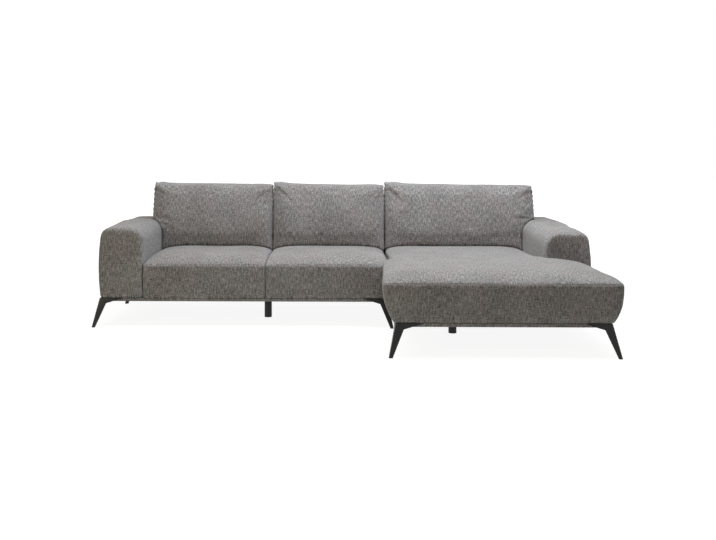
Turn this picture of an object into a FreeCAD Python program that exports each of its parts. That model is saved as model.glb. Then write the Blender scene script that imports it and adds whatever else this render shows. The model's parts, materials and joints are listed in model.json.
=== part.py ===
import FreeCAD, Part

import math
import os
import re
from functools import lru_cache
from types import SimpleNamespace

import Sketcher
from FreeCAD import Placement, Rotation, Vector

# A two-seat sofa module with a left arm, bolted to a chaise module with a right arm.
# The row frame has +X to the right as seen from the front, +Y to the rear and +Z up,
# with its origin on the floor under the middle of the whole.

# Driving dimensions, in millimetres
SIZES = {
    "overall_width": 2900,
    "arm_width": 267,
    "seat_width": 729,
    "base_depth": 795,
    "back_height": 594.5,
    "back_lean": 85,
    "chaise_reach": 764,
    "right_arm_reach": 54,
    "strip_bottom": 148.5,
    "body_bottom": 168.5,
    "crease_height": 367.5,
    "seat_edge_height": 382.5,
    "seat_crown_height": 423.5,
    "chaise_edge_height": 371.5,
    "front_roll": 200,
    "seat_roll": 150,
    "chaise_left_roll": 170,
    "chaise_right_roll": 300,
    "body_tuck": 12,
    "chaise_inset": 20,
    "chaise_right_inset": 89,
    "chaise_bulge": 56,
    "bulge_height": 349.5,
    "corner_round": 38,
    "left_arm_front_height": 582,
    "left_arm_rear_height": 599,
    "right_arm_front_height": 563,
    "right_arm_rear_height": 597,
    "arm_slope_length": 430,
    "arm_crown": 2,
    "arm_edge": 8,
    "back_thickness": 96,
    "back_round": 36,
    "strip_inset": 16,
    "strip_width": 56,
    "rail_inset": 42,
    "rail_thickness": 28,
    "rail_top": 284.5,
    "strap_thickness": 2,
    "strap_width": 50,
    "board_thickness": 25,
    "batten_width": 100,
    "batten_height": 25,
    "arm_board_top": 490,
    "back_board_top": 552,
    "foam_margin": 26,
    "foam_front_margin": 95,
    "foam_height": 76,
    "cushion_top": 826.5,
    "cushion_setback": 53,
    "cushion_depth": 180,
    "cushion_roll": 90,
    "left_overhang": 69,
    "right_overhang": 88,
    "cushion_gap": 2,
    "core_margin": 120,
    "core_depth": 84,
    "core_height": 200,
    "core_lift": 40,
    "core_setback": 15,
    "leg_thickness": 6,
    "leg_splay": 38,
    "leg_height": 168.1,
    "wing_length": 128,
    "wing_tip": 4,
    "knee_height": 138,
    "knee_width": 46,
    "foot_width": 19,
    "plate_size": 60,
    "plate_thickness": 4,
    "support_radius": 23,
    "support_flange_radius": 40,
    "dust_cover_thickness": 1,
    "screw_radius": 3,
    "screw_head_radius": 6,
    "screw_head_height": 3,
    "screw_length": 18,
    "link_thickness": 3,
    "link_width": 40,
    "fit_gap": 0.3,
}

# Places that follow from the sizes; each row is a formula
PLACES = {
    "sofa_left": "-overall_width / 2",
    "lean_per_height": "back_lean / (back_height - body_bottom)",
    "front_foot_reach": "chaise_reach + leg_splay + leg_thickness - strip_inset",
    "rear_reach": "base_depth + lean_per_height * (left_arm_rear_height + arm_crown - body_bottom)",
    "sofa_front": "(front_foot_reach - rear_reach) / 2",
    "arm_inner": "sofa_left + arm_width",
    "seat_seam": "arm_inner + seat_width",
    "boundary": "seat_seam + seat_width",
    "right_side": "sofa_left + overall_width",
    "right_arm_inner": "right_side - arm_width",
    "right_arm_front": "sofa_front - right_arm_reach",
    "chaise_front": "sofa_front - chaise_reach",
    "chaise_left": "boundary - chaise_inset",
    "chaise_right": "right_side - chaise_right_inset",
    "widest_left": "chaise_left - chaise_bulge",
    "widest_right": "chaise_right + chaise_bulge",
    "rear": "sofa_front + base_depth",
    "strap_top": "rail_top + strap_thickness",
    "pad_bottom": "strap_top + fit_gap",
    "back_front_low": "rear + lean_per_height * (pad_bottom - body_bottom) - back_thickness",
    "pad_rear": "back_front_low - fit_gap",
    "rail_bottom": "body_bottom",
    "cover_bottom": "body_bottom - dust_cover_thickness",
    "cushion_gap_below": "2 * fit_gap",
    "cushion_front": "base_depth - cushion_setback - cushion_depth",
    "core_bottom": "seat_crown_height + core_lift",
}

doc = FreeCAD.newDocument("SectionalSofa")
parts = []


def write_sheet(name, cells):
    """A sheet with one alias per row."""
    sheet = doc.addObject("Spreadsheet::Sheet", name)
    for row, (alias, content) in enumerate(cells.items(), start=1):
        sheet.set(f"A{row}", alias)
        sheet.setAlias(f"B{row}", alias)
        sheet.set(f"B{row}", str(content))
    doc.recompute()
    return sheet


def qualified(text, own_sheet=False):
    """An expression whose words are read from the sheets."""
    text = re.sub(r"\b(%s)\b" % "|".join(SIZES), r"Sizes.\1", str(text))
    return text if own_sheet else re.sub(r"\b(%s)\b" % "|".join(PLACES), r"Places.\1", text)


sizes_sheet = write_sheet("Sizes", SIZES)
places_sheet = write_sheet("Places", {name: "=" + qualified(text, True) for name, text in PLACES.items()})
doc.recompute()
at = SimpleNamespace(
    **{name: float(sizes_sheet.get(name)) for name in SIZES},
    **{name: float(places_sheet.get(name)) for name in PLACES},
)


def bind(target, prop, text):
    """Ties a property to an expression on the sheets."""
    target.setExpression(prop, qualified(text))


def sub_part(item, node):
    """Gives a finished piece its node name and notes it for writing."""
    item.Label = node
    parts.append(item)
    return item


def block(name, x_span, y_span, z_span):
    """A block between two places along each axis."""
    item = doc.addObject("Part::Box", name)
    for side, axis, (low, high) in zip(("Length", "Width", "Height"), "xyz", (x_span, y_span, z_span)):
        bind(item, side, f"({high}) - ({low})")
        bind(item, f"Placement.Base.{axis}", low)
    return item


def roomy(span):
    """A span with the fitting gap added at both ends."""
    low, high = span
    return f"({low}) - fit_gap", f"({high}) + fit_gap"


def pocket(name, x_span, y_span, z_span):
    """The room that a block needs inside a soft piece."""
    return block(name, roomy(x_span), roomy(y_span), roomy(z_span))


def joined(name, shapes):
    """Several solids as one object, whether or not they touch."""
    item = doc.addObject("Part::MultiFuse", name)
    item.Shapes = shapes
    return item


def carved(name, base, tools):
    """A solid less one or more tools."""
    item = doc.addObject("Part::Cut", name)
    item.Base = base
    item.Tool = tools[0] if len(tools) == 1 else joined(name + "_tools", tools)
    return item


def form(name, shape, place=Vector()):
    """A shaped solid as an object of the document."""
    if shape.Volume < 0:
        shape.reverse()
    item = doc.addObject("Part::Feature", name)
    item.Shape = shape
    item.Placement = Placement(place, Rotation())
    return item


def line(start, end):
    return Part.LineSegment(start, end).toShape()


def arc(start, middle, end):
    return Part.Arc(start, middle, end).toShape()


def ruled(wires):
    """A solid ruled through a row of closed outlines."""
    return Part.makeLoft(wires, True, True)


def side_view(x, outline):
    """A closed outline in the plane at x. Each item is a (y, z) corner, or a pair of a middle and a corner."""
    return closed_outline(outline, lambda y, z: Vector(x, y, z))


def front_view(y, outline):
    """A closed outline in the plane at y, written as side_view's is, with (x, z) corners."""
    return closed_outline(outline, lambda x, z: Vector(x, y, z))


def closed_outline(outline, corner):
    edges = []
    here = corner(*outline[0])
    for item in outline[1:] + outline[:1]:
        if isinstance(item[0], tuple):
            middle, end = (corner(*point) for point in item)
            edges.append(arc(here, middle, end))
        else:
            end = corner(*item)
            edges.append(line(here, end))
        here = end
    return Part.Wire(edges)


def quarter(share):
    """Height of a quarter ellipse, from 0 at its foot to 1 from a share of 1 on."""
    return math.sqrt(1 - (1 - min(share, 1)) ** 2)


def arc_middle(start, crest):
    """Middle of the arc that leaves start and is level at crest, both (y, z)."""
    run = crest[0] - start[0]
    rise = crest[1] - start[1]
    radius = (run**2 + rise**2) / (2 * rise)
    half = math.asin(run / radius) / 2
    return crest[0] - radius * math.sin(half), crest[1] - radius * (1 - math.cos(half))


# Shares of a roll at which a soft form has its sections
ROLL_STATIONS = (0.0, 0.04, 0.14, 0.32, 0.6, 1.0)


def roll_stations(low, high, low_roll, high_roll):
    """Places across a soft form, closer together where its ends roll down."""
    return [low + low_roll * share for share in ROLL_STATIONS] + [
        high - high_roll * share for share in reversed(ROLL_STATIONS)
    ]


# Timber base frames: the outline of each module's frame, then its rails
SOFA_FRAME = {
    "left": "sofa_left",
    "right": "boundary",
    "front": "sofa_front",
    "rear": "rear",
}
CHAISE_FRAME = {
    "left": "chaise_left",
    "right": "chaise_right",
    "front": "chaise_front",
    "rear": "rear",
}


def bands(frame, inset, width):
    """The four bands of a rectangular frame: front, rear, left and right, as x and y spans."""
    left, right = f"{frame['left']} + {inset}", f"{frame['right']} - {inset}"
    front, rear = f"{frame['front']} + {inset}", f"{frame['rear']} - {inset}"
    between = (f"{front} + {width}", f"{rear} - {width}")
    return {
        "front": ((left, right), (front, f"{front} + {width}")),
        "rear": ((left, right), (f"{rear} - {width}", rear)),
        "left": ((left, f"{left} + {width}"), between),
        "right": ((f"{right} - {width}", right), between),
    }


RAIL_HEIGHT = ("rail_bottom", "rail_top")
STRIP_HEIGHT = ("strip_bottom", "body_bottom")
sofa_rails = bands(SOFA_FRAME, "rail_inset", "rail_thickness")
chaise_rails = bands(CHAISE_FRAME, "rail_inset", "rail_thickness")
sofa_strips = bands(SOFA_FRAME, "strip_inset", "strip_width")
chaise_strips = bands(CHAISE_FRAME, "strip_inset", "strip_width")

# The sofa's centre rail runs under the seam, and the chaise's cross rail a little in front of the arm
CROSS_RAIL_AHEAD = 86
half_rail = "rail_thickness / 2"
sofa_rails["centre"] = (
    (f"seat_seam - {half_rail}", f"seat_seam + {half_rail}"),
    sofa_rails["left"][1],
)
cross_rail_middle = f"right_arm_front - {CROSS_RAIL_AHEAD}"
chaise_rails["cross"] = (
    (chaise_rails["left"][0][1], chaise_rails["right"][0][0]),
    (f"{cross_rail_middle} - {half_rail}", f"{cross_rail_middle} + {half_rail}"),
)
# Behind the arm's front the chaise's base is as wide as the arm
arm_strip_right = "right_side - strip_inset"
arm_strip_front = "right_arm_front + strip_inset"
chaise_rails["rear"] = ((chaise_rails["rear"][0][0], "right_side - rail_inset"), chaise_rails["rear"][1])
chaise_strips["rear"] = ((chaise_strips["rear"][0][0], arm_strip_right), chaise_strips["rear"][1])
chaise_strips["right"] = (
    chaise_strips["right"][0],
    (chaise_strips["right"][1][0], f"{arm_strip_front} + strip_width"),
)


def make_base():
    """Rails of both modules and the fabric-wrapped strips below them."""
    for module, rails, strips in (
        ("sofa", sofa_rails, sofa_strips),
        ("chaise", chaise_rails, chaise_strips),
    ):
        for side, (x_span, y_span) in rails.items():
            sub_part(block(f"{module}_{side}_rail_block", x_span, y_span, RAIL_HEIGHT), f"{module}_{side}_rail")
        for side, (x_span, y_span) in strips.items():
            sub_part(block(f"{module}_{side}_strip_block", x_span, y_span, STRIP_HEIGHT), f"{module}_{side}_plinth")
    along = block(
        "arm_strip_along",
        (f"{arm_strip_right} - strip_width", arm_strip_right),
        (arm_strip_front, chaise_strips["rear"][1][0]),
        STRIP_HEIGHT,
    )
    across = block(
        "arm_strip_across",
        (chaise_strips["right"][0][1], arm_strip_right),
        (arm_strip_front, f"{arm_strip_front} + strip_width"),
        STRIP_HEIGHT,
    )
    sub_part(joined("arm_strip", [along, across]), "chaise_arm_plinth")


def make_dust_cover(node, strips):
    """A thin cloth stapled under the rails, inside the strips."""
    x_span = (f"{strips['left'][0][1]} + fit_gap", f"{strips['right'][0][0]} - fit_gap")
    y_span = (f"{strips['front'][1][1]} + fit_gap", f"{strips['rear'][1][0]} - fit_gap")
    sub_part(block(node + "_sheet", x_span, y_span, ("cover_bottom", "body_bottom")), node)


STRAP_REST = 14


def make_webbing(node, rails, left, right, count):
    """Elastic straps from the front rail to the rear rail, side by side."""
    front = f"{rails['front'][1][1]} - {STRAP_REST}"
    rear = f"{rails['rear'][1][0]} + {STRAP_REST}"
    straps = []
    for index in range(count):
        middle = f"{left} + ({right} - ({left})) * {(index + 0.5) / count}"
        x_span = (f"{middle} - strap_width / 2", f"{middle} + strap_width / 2")
        straps.append(block(f"{node}_strap_{index + 1}", x_span, (front, rear), ("rail_top", "strap_top")))
    group = doc.addObject("Part::Compound", node + "_group")
    group.Links = straps
    sub_part(group, node)


# Soft pieces of the seats


def foam_spans(left, right, front, rear):
    """Room for a seat's foam block inside its cover."""
    x_span = (f"{left} + foam_margin", f"{right} - foam_margin")
    y_span = (f"{front} + foam_front_margin", f"{rear} - foam_margin")
    return x_span, y_span, ("pad_bottom + fit_gap", "pad_bottom + fit_gap + foam_height")


def filled_cover(node, core_node, shape, spans):
    """A cover form around a core block, each a piece of its own."""
    x_span, y_span, z_span = spans
    if core_node.startswith("seat") or core_node.startswith("chaise"):
        room = pocket(node + "_room", x_span, y_span, (f"{z_span[0]} - 1", z_span[1]))
    else:
        room = pocket(node + "_room", x_span, y_span, z_span)
    sub_part(carved(node + "_cover", shape, [room]), node)
    sub_part(block(core_node + "_block", x_span, y_span, z_span), core_node)


def seat_pad_shape(width, depth):
    """A pad that rolls down at both ends and at its front, in its own frame at the left front crease."""
    back_of_border = at.rail_inset + at.fit_gap
    bottom = at.crease_height + at.fit_gap
    wires = []
    for place, top in seat_tops(0, width + 2 * at.fit_gap):
        x = place - at.fit_gap
        start = (0, bottom)
        crest = (at.front_roll, top)
        outline = [start, (arc_middle(start, crest), crest), (depth, top), (depth, at.pad_bottom)]
        outline += [(back_of_border, at.pad_bottom), (back_of_border, bottom)]
        wires.append(side_view(x, outline))
    return ruled(wires)


def seat_tops(left, right):
    """Places across a seat and its height at each of them, behind its front roll."""
    low, high = left + at.fit_gap, right - at.fit_gap
    tops = []
    for x in roll_stations(low, high, at.seat_roll, at.seat_roll):
        share = quarter(min(x - low, high - x) / at.seat_roll)
        tops.append((x, at.seat_edge_height + (at.seat_crown_height - at.seat_edge_height) * share))
    return tops


BORDER_FULLNESS = 4
BORDER_SEAM = 5


def seat_border_shape(width):
    """The panel below the crease: full at mid height, tucked in at the bottom, eased at its end seams."""
    mid_height = (at.body_bottom + at.crease_height) / 2
    wires = []
    for x, back in ((0, BORDER_SEAM), (BORDER_SEAM, 0), (width - BORDER_SEAM, 0), (width, BORDER_SEAM)):
        foot = (at.body_tuck + back, at.body_bottom)
        belly = (back - BORDER_FULLNESS + at.body_tuck / 2, mid_height)
        head = (back, at.crease_height)
        rear = at.rail_inset
        wires.append(side_view(x, [foot, (belly, head), (rear, at.crease_height), (rear, at.body_bottom)]))
    return ruled(wires)


def make_sofa_seats():
    """Two pads with foam and a border under each, either side of the sewn seam."""
    width = at.seat_width - 2 * at.fit_gap
    depth = at.pad_rear - at.sofa_front
    for place, left, right in (("left", "arm_inner", "seat_seam"), ("middle", "seat_seam", "boundary")):
        corner = Vector(getattr(at, left) + at.fit_gap, at.sofa_front, 0)
        cover = form(f"seat_pad_{place}_form", seat_pad_shape(width, depth), corner)
        spans = foam_spans(left, right, "sofa_front", "pad_rear")
        filled_cover(f"seat_pad_{place}", f"seat_foam_{place}", cover, spans)
        sub_part(form(f"seat_border_{place}_form", seat_border_shape(width), corner), f"seat_border_{place}")


# Soft pieces of the chaise

BULGE_RADIUS = ((at.bulge_height - at.body_bottom) ** 2 + at.chaise_bulge**2) / (2 * at.chaise_bulge)
TUCK_RADIUS = ((at.bulge_height - at.body_bottom) ** 2 + at.body_tuck**2) / (2 * at.body_tuck)
SEAM_LIP = 3
STEP_AHEAD = 12
STEP_BEHIND = 110
LEFT_WING_SHARES = (0, 0.08, 0.24, 0.5, 1)
RIGHT_WING_SHARES = (1, 0.7, 0.4, 0.18, 0.06, 0.015, 0)


def bulge_inset(height):
    """How far the chaise's side lies inside its widest line at a height."""
    drop = max(at.bulge_height - height, 0)
    return BULGE_RADIUS - math.sqrt(BULGE_RADIUS**2 - drop**2)


def tuck_at(height):
    """How far the chaise's front lies behind its foremost line at a height."""
    drop = max(at.bulge_height - height, 0)
    return TUCK_RADIUS - math.sqrt(TUCK_RADIUS**2 - drop**2)


def side_foot(inset):
    """Height at which the chaise's side is that far inside its widest line."""
    return at.bulge_height - math.sqrt(BULGE_RADIUS**2 - (BULGE_RADIUS - inset) ** 2)


def corner_setback(inset):
    """How far the rounded front corner lies behind the front, that far inside the widest line."""
    reach = max(at.corner_round - inset, 0)
    return at.corner_round - math.sqrt(at.corner_round**2 - reach**2)


def chaise_height(x):
    """Height of the chaise's top in front of the arm, from side to side."""
    left_share = quarter((x - at.widest_left) / at.chaise_left_roll)
    right_share = quarter((at.widest_right - x) / at.chaise_right_roll)
    return at.chaise_edge_height + (at.seat_crown_height - at.chaise_edge_height) * min(left_share, right_share)


def chaise_wing(stations, end):
    """A side strip of the chaise's top, from the front to an end line."""
    bottom = at.crease_height + at.fit_gap
    wires = []
    for x in stations:
        inset = min(x - at.widest_left, at.widest_right - x)
        start = (at.chaise_front + corner_setback(inset), bottom)
        crest = (at.chaise_front + at.front_roll, chaise_height(x))
        wires.append(side_view(x, [start, (arc_middle(start, crest), crest), (end, crest[1]), (end, bottom)]))
    return ruled(wires)


def chaise_middle():
    """The chaise's top between the sofa and the arm, over the rails."""
    bottom = at.crease_height + at.fit_gap
    behind_border = at.chaise_front + at.rail_inset + at.fit_gap
    wires = []
    for x, rear_top in seat_tops(at.boundary, at.right_arm_inner):
        start = (at.chaise_front, bottom)
        crest = (at.chaise_front + at.front_roll, chaise_height(x))
        outline = [start, (arc_middle(start, crest), crest), (at.sofa_front - STEP_AHEAD, crest[1])]
        outline += [(at.sofa_front + STEP_BEHIND, rear_top), (at.pad_rear, rear_top), (at.pad_rear, at.pad_bottom)]
        outline += [(behind_border, at.pad_bottom), (behind_border, bottom)]
        wires.append(side_view(x, outline))
    return ruled(wires)


def make_chaise_pad():
    """One long pad that widens past the sofa's front on the left and past the arm's front on the right."""
    left = at.boundary + at.fit_gap
    right = at.right_arm_inner - at.fit_gap
    left_stations = [at.widest_left + (left - at.widest_left) * share for share in LEFT_WING_SHARES]
    right_stations = [at.widest_right + (right - at.widest_right) * share for share in RIGHT_WING_SHARES]
    strips = [
        form("chaise_pad_middle", chaise_middle()),
        form("chaise_pad_left", chaise_wing(left_stations, at.sofa_front - STEP_AHEAD)),
        form("chaise_pad_right", chaise_wing(right_stations, at.right_arm_front - at.fit_gap)),
    ]
    spans = foam_spans("boundary", "right_arm_inner", "chaise_front", "pad_rear")
    filled_cover("chaise_seat_pad", "chaise_seat_foam", joined("chaise_pad_form", strips), spans)


def make_chaise_borders():
    """Front border with rounded corners and bulging ends, and the two side borders behind it."""
    back = at.chaise_front + at.rail_inset
    insets = [0, 3, 10, 20, at.corner_round, at.chaise_bulge]
    stations = [(at.widest_left + inset, inset) for inset in insets]
    stations += [(at.widest_right - inset, inset) for inset in reversed(insets)]
    wires = []
    for x, inset in stations:
        foot = at.body_bottom if inset == at.chaise_bulge else min(side_foot(inset), at.bulge_height - SEAM_LIP)
        head = at.chaise_front + corner_setback(inset)
        low_front = min(head + tuck_at(foot), back - SEAM_LIP / 2)
        mid_height = (foot + at.bulge_height) / 2
        middle = (head + tuck_at(mid_height), mid_height)
        outline = [(low_front, foot), (middle, (head, at.bulge_height)), (head, at.crease_height)]
        wires.append(side_view(x, outline + [(back, at.crease_height), (back, foot)]))
    sub_part(form("chaise_front_border_form", ruled(wires)), "chaise_border_front")

    mid_height = (at.bulge_height + at.body_bottom) / 2
    top = at.crease_height
    for side, sign, widest, inner, rail, end in (
        ("left", 1, at.widest_left, at.boundary, at.chaise_left + at.rail_inset, at.sofa_front - STEP_AHEAD),
        ("right", -1, at.widest_right, at.right_arm_inner, at.chaise_right - at.rail_inset,
         at.right_arm_front - at.fit_gap),
    ):
        foot = (widest + sign * at.chaise_bulge, at.body_bottom)
        middle = (widest + sign * bulge_inset(mid_height), mid_height)
        outline = [foot, (middle, (widest, at.bulge_height)), (widest, top), (inner, top), (inner, at.strap_top)]
        outline += [(rail, at.strap_top), (rail, at.body_bottom)]
        shape = Part.Face(front_view(back, outline)).extrude(Vector(0, end - back, 0))
        sub_part(form(f"chaise_{side}_border_form", shape), f"chaise_border_{side}")


# Arms

# Heights of the left arm's outline that follow its curves
BELLY_RISE = 130
INNER_SHOULDER = 78
INNER_SHOULDER_WIDTH = 67
REAR_MARGIN = 40


def arm_outline(inset, top, outer_bottom, grow=0):
    """Front view of the left arm: leaning outer side, full rounded shoulders, upright inner side."""
    wide = at.arm_width
    out = inset - grow
    high = top - inset + grow
    return [
        (outer_bottom + out, at.body_bottom - grow),
        ((out, at.body_bottom + BELLY_RISE), (11 + out, high - 48)),
        ((30 + out, high - 12), (82 + out, high)),
        ((wide / 2 + 16, high + at.arm_crown), (wide - INNER_SHOULDER_WIDTH - out, high)),
        ((wide - 23 - out, high - 23), (wide - out, high - INNER_SHOULDER)),
        (wide - out, at.body_bottom - grow),
    ]


def arm_shape(length, front_height, rear_height):
    """An arm whose top climbs to the rear, in its own frame at the outer front corner."""
    stations = (
        (0, at.arm_edge, front_height),
        (at.arm_edge, 0, front_height),
        (at.arm_slope_length, 0, rear_height),
        (length, 0, rear_height),
    )
    return ruled([front_view(y, arm_outline(inset, top, at.body_tuck)) for y, inset, top in stations])


WEDGE_MARGIN = 60


def rear_wedge(left, right):
    """Everything behind the leaning rear plane."""
    slope = at.lean_per_height
    low, high = at.body_bottom - WEDGE_MARGIN, at.left_arm_rear_height + WEDGE_MARGIN
    low_y = at.rear + slope * (low - at.body_bottom)
    high_y = at.rear + slope * (high - at.body_bottom)
    far = at.rear + at.base_depth / 2
    wire = side_view(left, [(low_y, low), (high_y, high), (far, high), (far, low)])
    return Part.Face(wire).extrude(Vector(right - left, 0, 0))


WINDOW_MARGIN = 60


def make_arm_board(node, left, front):
    """A standing board with two windows, and a batten across its top that carries the arm's padding."""
    rear = sofa_rails["rear"][1][0]
    x_span = (left, f"{left} + board_thickness")
    y_span = (front, rear)
    board = block(node + "_board", x_span, y_span, ("rail_top", "arm_board_top - batten_height"))
    length = f"(({rear}) - ({front}) - 3 * {WINDOW_MARGIN}) / 2"
    windows = []
    for index in range(2):
        start = f"({front}) + {WINDOW_MARGIN} + {index} * ({length} + {WINDOW_MARGIN})"
        heights = (f"rail_top + {WINDOW_MARGIN}", f"arm_board_top - batten_height - {WINDOW_MARGIN}")
        windows.append(block(f"{node}_window_{index + 1}", (f"{left} - 1", f"{left} + board_thickness + 1"),
                             (start, f"({start}) + {length}"), heights))
    batten = block(node + "_batten", (left, f"{left} + batten_width"), y_span,
                   ("arm_board_top - batten_height", "arm_board_top"))
    sub_part(joined(node + "_frame", [carved(node + "_panel", board, windows), batten]), node)
    return [
        pocket(node + "_board_room", x_span, y_span, ("rail_top", "arm_board_top - batten_height")),
        pocket(node + "_batten_room", (left, f"{left} + batten_width"), y_span,
               ("arm_board_top - batten_height", "arm_board_top")),
    ]


def make_arms():
    """Both arms, each around its board and the ends of the rails that run into it."""
    length = at.base_depth + at.back_lean + REAR_MARGIN
    deep = ("rail_bottom - 1", "rail_top")

    left_shape = arm_shape(length, at.left_arm_front_height, at.left_arm_rear_height)
    left_form = form("left_arm_form", left_shape, Vector(at.sofa_left, at.sofa_front, 0))
    left_board = f"{sofa_rails['left'][0][0]}"
    tools = make_arm_board("left_arm_frame", left_board, sofa_rails["left"][1][0])
    for side in ("left", "front", "rear"):
        x_span, y_span = sofa_rails[side]
        if side != "left":
            x_span = (x_span[0], "arm_inner + 1")
        tools.append(pocket(f"left_arm_{side}_rail_room", x_span, y_span, deep))
    tools.append(form("left_arm_rear", rear_wedge(at.sofa_left - 50, at.arm_inner + 50)))
    sub_part(carved("left_arm_body", left_form, tools), "left_arm")

    right_length = length + at.right_arm_reach
    right_shape = arm_shape(right_length, at.right_arm_front_height, at.right_arm_rear_height)
    mirrored = right_shape.mirror(Vector(), Vector(1, 0, 0))
    right_form = form("right_arm_form", mirrored, Vector(at.right_side, at.right_arm_front, 0))
    right_board = f"{chaise_rails['right'][0][0]}"
    tools = make_arm_board("right_arm_frame", right_board, "right_arm_front + rail_inset")
    x_span, y_span = chaise_rails["right"]
    tools.append(pocket("right_arm_side_rail_room", x_span, ("right_arm_front - 10", y_span[1]), deep))
    x_span, y_span = chaise_rails["rear"]
    tools.append(pocket("right_arm_rear_rail_room", ("right_arm_inner - 1", x_span[1]), y_span, deep))
    tools.append(form("right_arm_rear", rear_wedge(at.right_arm_inner - 50, at.right_side + 50)))
    sub_part(carved("right_arm_body", right_form, tools), "right_arm")


# Low backs

BOARD_AHEAD = 14
BOARD_LEAN = 0.19


def back_outline():
    """Side view of the low back: upright foot behind the rail, leaning faces, rounded top edges."""
    slope = at.lean_per_height
    top = at.back_height
    shoulder = top - at.back_round
    foot_front = at.rear - at.rail_inset + at.fit_gap

    def rear_at(height):
        return at.rear + slope * (height - at.body_bottom)

    def front_at(height):
        return rear_at(height) - at.back_thickness

    third = at.back_round * 0.3
    return [
        (front_at(at.pad_bottom), at.pad_bottom),
        (front_at(shoulder), shoulder),
        ((front_at(top) + third, top - third), (front_at(top) + at.back_round, top)),
        (rear_at(top) - at.back_round, top),
        ((rear_at(top) - third, top - third), (rear_at(shoulder), shoulder)),
        (at.rear, at.body_bottom),
        (foot_front, at.body_bottom),
        (foot_front, at.pad_bottom),
    ]


def back_board_outline(gap):
    """Side view of the timber board inside a low back, with a gap around it."""
    foot = at.rear - at.rail_inset - BOARD_AHEAD
    lean = BOARD_LEAN * (at.back_board_top - at.rail_top)
    thick = at.board_thickness
    return [
        (foot - gap, at.rail_top),
        (foot + lean - gap, at.back_board_top + gap),
        (foot + lean + thick + gap, at.back_board_top + gap),
        (foot + thick + gap, at.rail_top),
    ]


def make_back(module, left, right, windows):
    """A low back between two places, around its leaning board."""
    start = left + at.fit_gap
    width = right - left - 2 * at.fit_gap
    shape = Part.Face(side_view(start, back_outline())).extrude(Vector(width, 0, 0))
    room = Part.Face(side_view(start + at.rail_inset - at.fit_gap, back_board_outline(at.fit_gap)))
    room = room.extrude(Vector(width - 2 * at.rail_inset + 2 * at.fit_gap, 0, 0))
    tools = [form(f"{module}_back_room", room)]
    sub_part(carved(f"{module}_back_body", form(f"{module}_back_form", shape), tools), f"{module}_back")

    board_width = width - 2 * at.rail_inset
    board = Part.Face(side_view(start + at.rail_inset, back_board_outline(0))).extrude(Vector(board_width, 0, 0))
    pane = (board_width - (windows + 1) * WINDOW_MARGIN) / windows
    holes = []
    for index in range(windows):
        x = start + at.rail_inset + WINDOW_MARGIN + index * (pane + WINDOW_MARGIN)
        low = at.rail_top + WINDOW_MARGIN
        high = at.back_board_top - WINDOW_MARGIN
        hole = Part.makeBox(pane, 4 * at.back_thickness, high - low, Vector(x, at.rear - 2 * at.back_thickness, low))
        holes.append(form(f"{module}_back_window_{index + 1}", hole))
    sub_part(carved(f"{module}_back_panel", form(f"{module}_back_board", board), holes), f"{module}_back_frame")


# Loose back cushions


def seat_height(x):
    """Height of the seats across the whole sofa, where the back cushions stand."""
    for left, right in (
        (at.arm_inner, at.seat_seam),
        (at.seat_seam, at.boundary),
        (at.boundary, at.right_arm_inner),
    ):
        tops = seat_tops(left, right)
        for (x1, top1), (x2, top2) in zip(tops, tops[1:]):
            if x1 <= x <= x2:
                return top1 + (top2 - top1) * (x - x1) / (x2 - x1)
    return at.seat_edge_height


def cushion_outline(share, bottom):
    """Side view of a back cushion: full and upright in front, rounded over to a seam along its rear top edge."""
    top = at.cushion_top
    front = at.cushion_front
    rear = front + at.cushion_depth
    crown = at.seat_crown_height
    middle = (front + rear) / 2
    thin = END_THICKNESS + (1 - END_THICKNESS) * share

    def squeezed(reach, centre):
        return centre + (front + reach - centre) * thin

    return [
        (squeezed(14, middle), bottom),
        ((squeezed(3, middle), crown + 34), (squeezed(0, middle), crown + 90)),
        ((squeezed(20, middle + 8), crown + 240), (squeezed(52, middle + 20), top - 46)),
        ((squeezed(63, middle + 22), top - 15), (squeezed(96, middle + 26), top - 1)),
        ((squeezed(130, middle + 30), top), (squeezed(158, middle + 30), top - 12)),
        ((squeezed(199, middle + 20), crown + 190), (squeezed(176, middle), bottom)),
    ]


def cushion_shape(left, right):
    """A cushion whose ends are thinner than its middle, and whose underside follows the seats."""
    places = set(roll_stations(left, right, at.cushion_roll, at.cushion_roll))
    for seat in ((at.arm_inner, at.seat_seam), (at.seat_seam, at.boundary), (at.boundary, at.right_arm_inner)):
        places.update(x for x, _ in seat_tops(*seat) if left < x < right)
    wires = []
    last = None
    for x in sorted(places):
        if last is not None and x - last < NARROWEST_STRIP:
            continue
        last = x
        share = quarter(min(x - left, right - x) / at.cushion_roll)
        wires.append(side_view(x, cushion_outline(share, seat_height(x) + at.cushion_gap_below)))
    return ruled(wires)


def arm_clearance(side):
    """The arm's outline, grown a little and drawn out along it, which a cushion leaves free."""
    rear_height = getattr(at, f"{side}_arm_rear_height")
    outline = arm_outline(0, rear_height, at.body_tuck, grow=3 * at.fit_gap)
    face = Part.Face(front_view(0, outline)).extrude(Vector(0, 2 * at.base_depth, 0))
    if side == "right":
        mirrored = face.mirror(Vector(), Vector(1, 0, 0))
        return form("right_arm_clearance", mirrored, Vector(at.right_side, at.sofa_front, 0))
    return form("left_arm_clearance", face, Vector(at.sofa_left, at.sofa_front, 0))


END_THICKNESS = 0.45
NARROWEST_STRIP = 0.05
SEAM_SHIFT = 3
BOUNDARY_SHIFT = 10


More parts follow.
